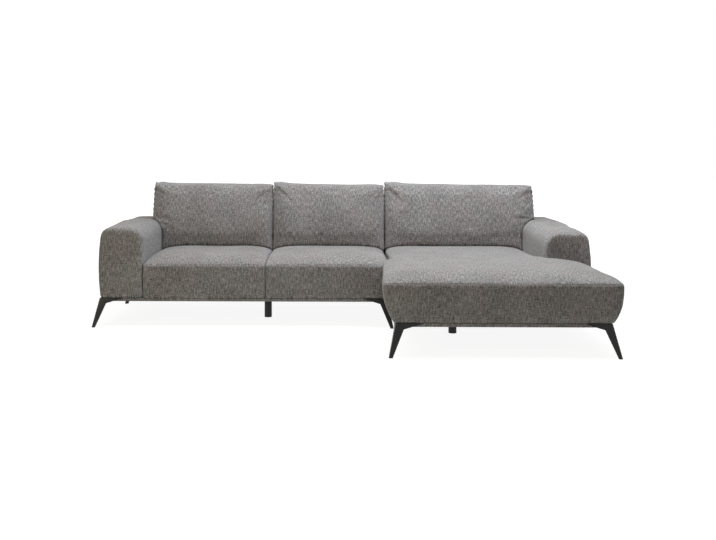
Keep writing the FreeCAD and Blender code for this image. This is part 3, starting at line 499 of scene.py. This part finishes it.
def even_mesh(piece, size, rounds):
    """Remakes the surface as even squares, keeps its outer shell and rounds its edges."""
    pick(piece)
    piece.data.remesh_voxel_size = size
    bpy.ops.object.voxel_remesh()
    co = points(piece)
    outermost = int(co[:, 0].argmax())
    bpy.ops.object.mode_set(mode="EDIT")
    bpy.ops.mesh.select_all(action="DESELECT")
    bpy.ops.object.mode_set(mode="OBJECT")
    piece.data.vertices[outermost].select = True
    bpy.ops.object.mode_set(mode="EDIT")
    bpy.ops.mesh.select_linked()
    bpy.ops.mesh.select_all(action="INVERT")
    bpy.ops.mesh.delete(type="VERT")
    bpy.ops.object.mode_set(mode="OBJECT")
    finish_modifier(piece, "SMOOTH", factor=ROUNDING, iterations=rounds)


def weigh(piece, name, weights):
    """A vertex group with a weight for each point, in steps of a tenth."""
    group = piece.vertex_groups.new(name=name)
    steps = np.round(weights, 1)
    for weight in np.unique(steps[steps > 0]):
        group.add(np.nonzero(steps == weight)[0].tolist(), float(weight), "REPLACE")
    return group.name


# How long the air acts, in frames
CLOTH_FRAMES = 20


def inflate(piece, furthest, pressure, slack, held):
    """Air pressure in the cover, as cloth. held is how firmly points stay; none moves past furthest."""
    rest = points(piece)
    cloth = piece.modifiers.new("cloth", "CLOTH")
    cloth.settings.quality = 4
    cloth.settings.mass = 0.25
    cloth.settings.use_pressure = True
    cloth.settings.uniform_pressure_force = pressure
    cloth.settings.shrink_min = -slack
    cloth.settings.effector_weights.gravity = 0
    cloth.settings.tension_stiffness = 18
    cloth.settings.compression_stiffness = 18
    cloth.settings.shear_stiffness = 8
    cloth.settings.bending_stiffness = 0.6
    cloth.settings.vertex_group_mass = weigh(piece, "held", held)
    for step in range(CLOTH_FRAMES):
        scene.frame_set(step + 1)
    pick(piece)
    bpy.ops.object.modifier_apply(modifier=cloth.name)
    scene.frame_set(1)
    piece.vertex_groups.clear()
    moved = points(piece) - rest
    length = np.linalg.norm(moved, axis=1, keepdims=True)
    set_points(piece, rest + moved * np.minimum(1, furthest / np.maximum(length, 1e-9)))


def smooth_step(share):
    """0 to 1 with level ends."""
    return share * share * (3 - 2 * share)


def chance(co, size, seed):
    """Smooth chance in space, from -1 to 1, with blobs of a size; size may differ along each axis."""
    place = co / np.array(size, float) + 17.3 * seed
    cell = np.floor(place)
    part = smooth_step(place - cell)
    total = np.zeros(len(co))
    for corner in range(8):
        step = np.array([corner & 1, corner >> 1 & 1, corner >> 2 & 1])
        spot = cell + step
        value = np.sin(spot @ np.array([127.1, 311.7, 74.7]) + seed * 53.9) * 43758.5453
        value = (value - np.floor(value)) * 2 - 1
        share = np.prod(np.where(step, part, 1 - part), axis=1)
        total += value * share
    return total


def near(distance, reach):
    """1 on a line and 0 far from it, as a bell."""
    return np.exp(-((distance / reach) ** 2))


def mark_seam(piece, distance):
    """Notes how far each point lies from the piece's sewn seam, for the weave to draw its groove and
    painted shade.
    """
    attribute = piece.data.attributes.new("seam", "FLOAT", "POINT")
    attribute.data.foreach_set("value", np.asarray(distance, np.float32))


def smooth_shaded(piece):
    pick(piece)
    bpy.ops.object.shade_smooth()


def dress(piece, body, material, replaced):
    """Gives a finished piece its material, attaches it to its body and hides the nodes that it stands for.
    """
    piece.data.materials.clear()
    piece.data.materials.append(material)
    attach(piece, body)
    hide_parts(*replaced)


# Soft pieces. Lengths are in metres, and seeds only choose between equal patterns of chance.

# Width of the squares that a cover is made of, and how many times its edges are rounded
SQUARES = {"seat": 0.010, "chaise": 0.012, "arm": 0.010, "back": 0.014, "cushion": 0.010}
ROUNDINGS = {"seat": 5, "chaise": 5, "arm": 6, "back": 4, "cushion": 4}
# How deep a seam draws the cover in, and how far that reaches
SEAMS = {
    "seat": (0.0016, 0.006),
    "chaise": (0.0018, 0.007),
    "arm": (0.0018, 0.006),
    "cushion": (0.003, 0.006),
}
# The swell either side of a seam: its place and width in the seam's reach, its height in the seam's depth
SWELL_PLACE, SWELL_WIDTH, SWELL_HEIGHT = 2.6, 1.6, 0.2
# Small puckers beside a crease: their height, and their size along each axis
PUCKERS = {"seat": (0.0010, (0.03, 0.05, 0.05)), "chaise": (0.0012, (0.04, 0.05, 0.05))}
# How far the puckers reach from the crease, and how far a seat's crease shows behind its front
PUCKER_REACH, FRONT_REACH = 0.03, 0.05
# Broad unevenness of a filled cover: its height, and its size along each axis, where 9 makes it even
WAVES = {
    "seat": (0.0016, (0.17, 0.2, 0.6)),
    "chaise": (0.002, (0.25, 0.3, 0.6)),
    "arm": (0.0012, (0.2, 0.25, 0.2)),
    "cushion": (0.0022, (0.16, 9, 0.13)),
}


def seam_dent(distance, kind):
    """How deep the surface is drawn in at a seam, with a slight swell either side."""
    depth, reach = SEAMS[kind]
    swell = near(np.abs(distance) - SWELL_PLACE * reach, SWELL_WIDTH * reach)
    return -depth * near(distance, reach) + SWELL_HEIGHT * depth * swell


def uneven(co, table, kind, seed):
    """How far each point lies off an even surface, by a table's height and size for a kind of cover."""
    height, size = table[kind]
    return height * chance(co, size, seed)


def finer(piece):
    """Four squares for one, rounded."""
    finish_modifier(piece, "SUBSURF", levels=1, render_levels=1)


def blend_band(piece, distance, reach, rounds):
    """Rounds the surface within reach of a band, where distance is each point's distance from it."""
    group = weigh(piece, "band", near(distance, reach))
    finish_modifier(piece, "SMOOTH", factor=ROUNDING, iterations=rounds, vertex_group=group)
    piece.vertex_groups.clear()


def make_seat_cover(place, weave):
    """A seat's top panel and front panel, sewn together along the crease."""
    pad, foam, border = f"seat_pad_{place}", f"seat_foam_{place}", f"seat_border_{place}"
    cover = start_from(f"seat_cover_{place}", [pad, foam, border])
    even_mesh(cover, SQUARES["seat"], ROUNDINGS["seat"])
    finer(cover)
    co, out = points(cover), normals(cover)
    rise = co[:, 2] - CREASE
    front = near(co[:, 1] - LEFT_SEAT_LOW.y, FRONT_REACH)
    co += out * (seam_dent(rise, "seat") * front)[:, None]
    co += out * (uneven(co, PUCKERS, "seat", 3) * near(rise, PUCKER_REACH) * front)[:, None]
    co[:, 2] += uneven(co, WAVES, "seat", 5) * (rise > 0)
    set_points(cover, co)
    mark_seam(cover, rise)
    smooth_shaded(cover)
    dress(cover, "root", weave, [pad, border])


# The chaise's left flank draws in towards the sofa: where this starts behind the front, how long it takes,
# how far it reaches in from the flank, and how much it is
FLANK_START, FLANK_LENGTH, FLANK_WIDTH, FLANK_SHIFT = 0.08, 0.62, 0.16, 0.040
# Its right flank has a slight waist: its place behind the front, its length, its reach and its depth
WAIST_PLACE, WAIST_LENGTH, WAIST_WIDTH, WAIST_DEPTH = 0.26, 0.16, 0.08, 0.012


def make_chaise_cover(weave):
    """The chaise's long top panel and the panels round its front and sides."""
    borders = [f"chaise_border_{side}" for side in ("front", "left", "right")]
    cover = start_from("chaise_cover", ["chaise_seat_pad", "chaise_seat_foam", *borders])
    even_mesh(cover, SQUARES["chaise"], ROUNDINGS["chaise"])
    finer(cover)
    co, out = points(cover), normals(cover)
    rise = co[:, 2] - CREASE
    co += out * seam_dent(rise, "chaise")[:, None]
    co += out * (uneven(co, PUCKERS, "chaise", 4) * near(rise, PUCKER_REACH))[:, None]
    co[:, 2] += uneven(co, WAVES, "chaise", 8) * (rise > 0)

    low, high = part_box("chaise_border_front")
    behind = co[:, 1] - low.y
    drawn_in = np.clip((behind - FLANK_START) / FLANK_LENGTH, 0, 1)
    flank = np.clip(1 - (co[:, 0] - low.x) / FLANK_WIDTH, 0, 1) ** 1.5
    co[:, 0] += FLANK_SHIFT * drawn_in * flank
    waist = near(behind - WAIST_PLACE, WAIST_LENGTH) * near(high.x - co[:, 0], WAIST_WIDTH)
    co[:, 0] -= WAIST_DEPTH * waist
    set_points(cover, co)
    mark_seam(cover, rise)
    smooth_shaded(cover)
    dress(cover, "root", weave, ["chaise_seat_pad", *borders])


# An arm's front edge is rounder than the rest, with its seam just behind, and its cover is slightly full
ARM_EDGE_REACH, ARM_EDGE_ROUNDING = 0.03, 14
ARM_SEAM_PLACE, ARM_FULLNESS = 0.016, 0.001
# How far the slope of each arm's top hangs, and where this is and how long, behind the seam
ARM_SAG = {"left": 0.0, "right": 0.013}
ARM_SAG_PLACE, ARM_SAG_LENGTH = 0.33, 0.14
# How far the level rear of the top lies lower, from where, and how soon
REAR_DROP, REAR_START, REAR_LENGTH = 0.004, 0.42, 0.1


def make_arm_cover(side, weave):
    """An arm's padded cover: front panel, and the panel that wraps over the top."""
    cover = start_from(f"{side}_arm_cover", [f"{side}_arm"], 0)
    wrapped(cover)
    even_mesh(cover, SQUARES["arm"], ROUNDINGS["arm"])
    low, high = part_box(f"{side}_arm")
    blend_band(cover, points(cover)[:, 1] - low.y, ARM_EDGE_REACH, ARM_EDGE_ROUNDING)
    finer(cover)
    co, out = points(cover), normals(cover)
    ring = co[:, 1] - low.y - ARM_SEAM_PLACE
    co += out * (ARM_FULLNESS + seam_dent(ring, "arm"))[:, None]
    co += out * uneven(co, WAVES, "arm", 11)[:, None]
    height = np.clip((co[:, 2] - low.z) / (high.z - low.z), 0, 1) ** 3
    sag = ARM_SAG[side] * near(ring - ARM_SAG_PLACE, ARM_SAG_LENGTH)
    drop = REAR_DROP * np.clip((ring - REAR_START) / REAR_LENGTH, 0, 1)
    co[:, 2] -= height * (sag + drop)
    set_points(cover, co)
    mark_seam(cover, ring)
    smooth_shaded(cover)
    dress(cover, "root", weave, [f"{side}_arm"])


# How far below its top the back's seam runs
BACK_SEAM_BELOW_TOP = 0.04


def make_back_cover(module, weave):
    """A module's low back, wrapped in one piece over its top."""
    cover = start_from(f"{module}_back_cover", [f"{module}_back"], 0)
    wrapped(cover)
    even_mesh(cover, SQUARES["back"], ROUNDINGS["back"])
    finer(cover)
    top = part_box(f"{module}_back")[1].z
    mark_seam(cover, points(cover)[:, 2] - (top - BACK_SEAM_BELOW_TOP))
    smooth_shaded(cover)
    dress(cover, "root", weave, [f"{module}_back"])


# Where a back cushion's seam runs behind its front: up the ends, then back to the rear edge of the top.
# The turn starts at a share of the height and takes another.
SEAM_FOOT, SEAM_SHOULDER, SEAM_TOP = 0.090, 0.118, 0.156
SEAM_TURN_START, SEAM_TURN_LENGTH = 0.86, 0.13


def cushion_seam(co, low, high):
    """How far each point lies in front of or behind the cushion's seam."""
    share = (co[:, 2] - low.z) / (high.z - low.z)
    turn = smooth_step(np.clip((share - SEAM_TURN_START) / SEAM_TURN_LENGTH, 0, 1))
    place = SEAM_FOOT + (SEAM_SHOULDER - SEAM_FOOT) * share + (SEAM_TOP - SEAM_SHOULDER) * turn
    return co[:, 1] - low.y - place


# The air run: its pressure, the cloth's slack, how far points may move, and how near to the seam or how low
# they are held. Then the band above the foot that is blended, with its height, reach and rounds.
PRESSURE, SLACK, FURTHEST = 3.0, 0.003, 0.009
SEAM_HELD, FOOT_HELD = 0.014, 0.12
BLEND_HEIGHT, BLEND_REACH, BLEND_ROUNDS = 0.09, 0.05, 40
# Gathers at the ends: their pitch, depth, wander, and how far they reach from the seam and the end,
# with the share of the height that stays free of them at the foot
GATHER_PITCH, GATHER_DEPTH = 0.031, 0.0036
GATHER_WANDER, GATHER_WANDER_SIZE = 2.2, (9, 9, 0.06)
GATHER_FROM_SEAM, GATHER_FROM_END, GATHER_FREE_FOOT = 0.04, 0.05, 0.12
# The top line: an even rise, a rise to the left corner with a peak, a fuller middle and a drop at the right
# end, and how far each cushion's right half has sunk. Places and lengths are shares of the width.
TOP_RISE = 0.0045
LEFT_RISE, LEFT_RISE_LENGTH = 0.011, 0.55
PEAK, PEAK_PLACE, PEAK_LENGTH = 0.007, 0.065, 0.045
CROWN, CROWN_LENGTH = 0.003, 0.2
RIGHT_DROP, RIGHT_DROP_LENGTH = 0.006, 0.03
CUSHION_SAG = {"left": 0.0, "middle": 0.004, "right": 0.006}
# The share of the height above which the top line acts
TOP_LINE_START = 0.55
# The row's outer ends are slightly drawn in: left and right end of each cushion
DRAWN_ENDS = {"left": (1, 0), "middle": (0, 0), "right": (0, 1)}
END_SHIFT, END_REACH = 0.004, 0.03
# The front is fuller near the foot: by how much, up to which height, and how deep the front is taken to be
FOOT_FULLNESS, FOOT_HEIGHT, FRONT_DEPTH = 0.012, 0.11, 0.08


def top_line(along, sag):
    """How far a back cushion's top lies above or below its solid's, from its left to its right end."""
    lift = TOP_RISE + LEFT_RISE * (1 - np.minimum(along / LEFT_RISE_LENGTH, 1)) ** 1.6
    lift += PEAK * near(along - PEAK_PLACE, PEAK_LENGTH)
    lift -= sag * np.clip(along * 2, 0, 1)
    lift += CROWN * near(along - 0.5, CROWN_LENGTH)
    return lift - RIGHT_DROP * near(1 - along, RIGHT_DROP_LENGTH)


def make_back_cushion(place, weave):
    """A loose cushion: two panels sewn together round the sides and along the rear edge of its top."""
    node = f"back_cushion_{place}"
    cover = start_from(f"cushion_cover_{place}", [node, f"back_cushion_core_{place}"])
    low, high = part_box(node)
    even_mesh(cover, SQUARES["cushion"], ROUNDINGS["cushion"])
    rest, out = points(cover), normals(cover)
    resting = np.clip((low.z + FOOT_HELD - rest[:, 2]) / FOOT_HELD, 0, 1) + (out[:, 2] < -0.4)
    held = np.clip(near(cushion_seam(rest, low, high), SEAM_HELD) + resting, 0, 1)
    inflate(cover, FURTHEST, PRESSURE, SLACK, held)
    blend_band(cover, points(cover)[:, 2] - low.z - BLEND_HEIGHT, BLEND_REACH, BLEND_ROUNDS)
    finer(cover)

    co, out = points(cover), normals(cover)
    off_seam = cushion_seam(co, low, high)
    end = np.minimum(co[:, 0] - low.x, high.x - co[:, 0])
    height = np.clip((co[:, 2] - low.z) / (high.z - low.z), 0, 1)
    wander = GATHER_WANDER * chance(co, GATHER_WANDER_SIZE, 2)
    gathers = np.sin(co[:, 2] * 2 * math.pi / GATHER_PITCH + wander)
    gathers *= near(off_seam, GATHER_FROM_SEAM) * near(end, GATHER_FROM_END)
    gathers *= 1 - near(height, GATHER_FREE_FOOT)
    co += out * seam_dent(off_seam, "cushion")[:, None]
    co += out * (GATHER_DEPTH * gathers)[:, None]
    co += out * (uneven(co, WAVES, "cushion", 6) * height)[:, None]

    along = (co[:, 0] - low.x) / (high.x - low.x)
    upper = np.clip((height - TOP_LINE_START) / (1 - TOP_LINE_START), 0, 1) ** 1.5
    co[:, 2] += top_line(along, CUSHION_SAG[place]) * upper
    left, right = DRAWN_ENDS[place]
    drawn = left * near(co[:, 0] - low.x, END_REACH) - right * near(high.x - co[:, 0], END_REACH)
    co[:, 0] = np.clip(co[:, 0] + END_SHIFT * drawn, low.x, high.x)
    foot = smooth_step(np.clip(1 - (co[:, 2] - low.z) / FOOT_HEIGHT, 0, 1))
    co[:, 1] -= FOOT_FULLNESS * foot * (co[:, 1] < low.y + FRONT_DEPTH)
    set_points(cover, co)
    mark_seam(cover, off_seam)
    smooth_shaded(cover)
    dress(cover, f"cushion_{place}", weave, [node])


# Hard pieces

# Roundness of the edges of the wrapped strips and of the folded legs
PLINTH_EDGE, LEG_EDGE = 0.005, 0.0012
# Faces that meet at less than the first angle are one, at more than the second they have an edge to round,
# and up to the third they are shaded as one surface
FLAT, SHARP, SHADED = math.radians(2), math.radians(30), math.radians(40)


def eased(node, width, material):
    """A copy of a hard piece with its edges rounded."""
    piece = start_from(node + "_eased", [node], 0)
    pick(piece)
    bpy.ops.object.mode_set(mode="EDIT")
    bpy.ops.mesh.select_all(action="SELECT")
    bpy.ops.mesh.dissolve_limited(angle_limit=FLAT)
    bpy.ops.object.mode_set(mode="OBJECT")
    finish_modifier(piece, "BEVEL", width=width, segments=3, limit_method="ANGLE", angle_limit=SHARP)
    pick(piece)
    bpy.ops.object.shade_smooth_by_angle(angle=SHADED)
    dress(piece, "root", material, [node])


# The scene

place_camera()
light_studio()
bpy.ops.object.select_all(action="DESELECT")
bpy.ops.mesh.primitive_plane_add(size=60, location=(0, 0, 0))
floor = bpy.context.object
floor.name = "floor"
floor.data.materials.append(floor_finish())

weave = weave_finish("melange_weave")
strip_weave = weave_finish("melange_weave_strip", seam_grooves_and_shade=False)
coat, plastic, timber = wing_metal_finish(), plastic_finish(), timber_finish()
carried = {
    "_rail": timber, "_arm_frame": timber, "_back_frame": timber, "webbing": strap_finish(),
    "foam": foam_finish(), "core": filling_finish(), "dust_cover": dust_cloth_finish(),
    "link_plates": steel_finish("plated_steel", 0.5), "screws": steel_finish("screw_steel", 0.42),
    "support": plastic,
}
for node, item in nodes.items():
    for words, material in carried.items():
        if words in node:
            item.data.materials.clear()
            item.data.materials.append(material)

for place in ("left", "middle"):
    make_seat_cover(place, weave)
make_chaise_cover(weave)
for side in ("left", "right"):
    make_arm_cover(side, weave)
for module in ("sofa", "chaise"):
    make_back_cover(module, weave)
for place in CUSHIONS:
    make_back_cushion(place, weave)
for node in sorted(nodes):
    if node.endswith("_plinth"):
        eased(node, PLINTH_EDGE, strip_weave)
    elif node.startswith("leg_"):
        eased(node, LEG_EDGE, coat)
